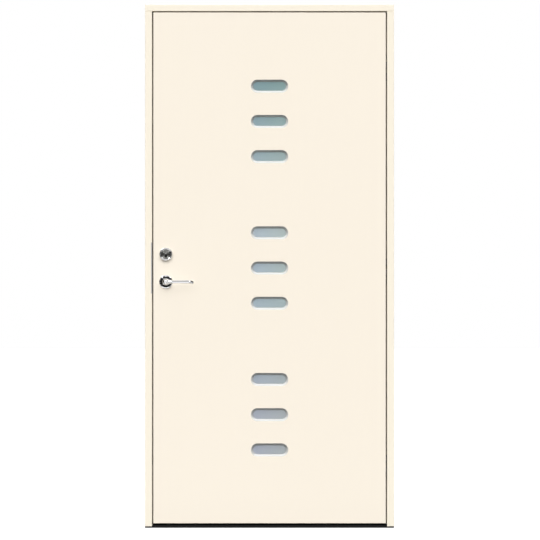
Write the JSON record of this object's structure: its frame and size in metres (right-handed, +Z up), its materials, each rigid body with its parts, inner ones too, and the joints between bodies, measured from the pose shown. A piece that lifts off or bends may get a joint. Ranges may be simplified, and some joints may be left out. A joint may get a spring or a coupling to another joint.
{
  "type": "exterior door",
  "caption": "Cream exterior door with small round-ended satin windows, chrome lever and lock, in its frame on a black threshold.",
  "frame": {"origin": "centre of the threshold's underside, at the middle of the frame's width and depth", "axes": "+Z up, +X to the right seen from outside (toward the hinges), -Y toward the outside"},
  "size_m": [0.99, 0.175, 2.08],
  "materials": {
    "cream_paint": "satin",
    "black_aluminium": "satin",
    "seal_rubber": "matte",
    "satin_glass": "satin",
    "spacer_bar": "matte",
    "insulation": "matte",
    "steel": "satin",
    "turned_steel": "satin",
    "chrome": "polished"
  },
  "bodies": {
    "frame": {"frame_head": "cream_paint", "lock_jamb": "cream_paint", "hinge_jamb": "cream_paint", "threshold_sill": "black_aluminium", "threshold_stop": "black_aluminium", "lock_side_seal": "seal_rubber", "hinge_side_seal": "seal_rubber", "head_seal": "seal_rubber", "threshold_seal": "seal_rubber", "strike_plate": "steel", "upper_hinge_cup": "steel", "middle_hinge_cup": "steel", "lower_hinge_cup": "steel", "hinge_pins": "steel"},
    "leaf": {"outer_skin": "cream_paint", "inner_skin": "cream_paint", "lock_stile": "cream_paint", "hinge_stile": "cream_paint", "top_rail": "cream_paint", "bottom_rail": "cream_paint", "insulation_core": "insulation", "upper_outer_panes": "satin_glass", "middle_outer_panes": "satin_glass", "lower_outer_panes": "satin_glass", "upper_spacers": "spacer_bar", "middle_spacers": "spacer_bar", "lower_spacers": "spacer_bar", "upper_inner_panes": "satin_glass", "middle_inner_panes": "satin_glass", "lower_inner_panes": "satin_glass", "mortise_lock": "steel", "latch_bolt": "steel", "dead_bolt": "steel", "outside_rose": "chrome", "inside_rose": "chrome", "cylinder_ring": "chrome", "lock_cylinder": "turned_steel", "thumbturn_rose": "chrome", "thumbturn": "chrome", "upper_hinge_arm": "steel", "middle_hinge_arm": "steel", "lower_hinge_arm": "steel"},
    "lever": {"outside_lever": "chrome", "inside_lever": "chrome", "spindle": "steel"}
  },
  "joints": [
    {"name": "door_swing", "type": "hinge", "parent": "frame", "child": "leaf", "pos_m": [0.483, -0.0415, 1.033], "axis": [0, 0, 1], "range_deg": [0, 95]},
    {"name": "lever_turn", "type": "hinge", "parent": "leaf", "child": "lever", "pos_m": [-0.412, -0.0215, 0.978], "axis": [0, 1, 0], "range_deg": [0, 45], "stiffness_Nm_per_rad": 0.8, "springref_deg": -34.38}
  ]
}
